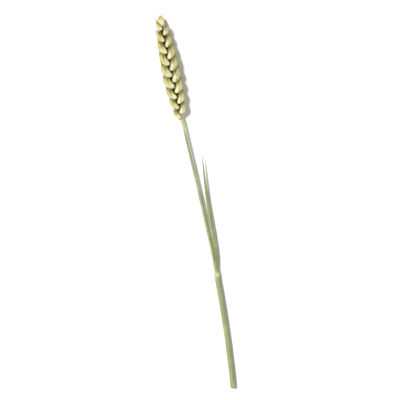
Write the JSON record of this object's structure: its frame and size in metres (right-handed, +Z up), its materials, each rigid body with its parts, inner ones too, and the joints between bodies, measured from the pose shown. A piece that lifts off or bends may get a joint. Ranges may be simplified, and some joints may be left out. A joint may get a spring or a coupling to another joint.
{
  "type": "wheat ear",
  "caption": "Dried ear of wheat with short awn tips on its own cut stalk, with the flag leaf's sheath and folded blade, lying on its side.",
  "frame": {"origin": "middle of the bottom of the box, on the surface that the ear lies on", "axes": "+Y along the stalk from its cut end to the ear's tip, +Z up from the surface, +X to the side that the leaf's blade leans to"},
  "size_m": [0.018, 0.2852, 0.0095],
  "materials": {
    "husk": "dry straw-gold husks, satin, finely ribbed",
    "stem": "dry sage-green straw, satin, finely grooved",
    "leaf": "dry sage-green leaf, matt, ribbed along its length"
  },
  "bodies": {
    "root": {"ear": "husk", "straw": "stem", "flag_leaf": "leaf"}
  },
  "joints": []
}
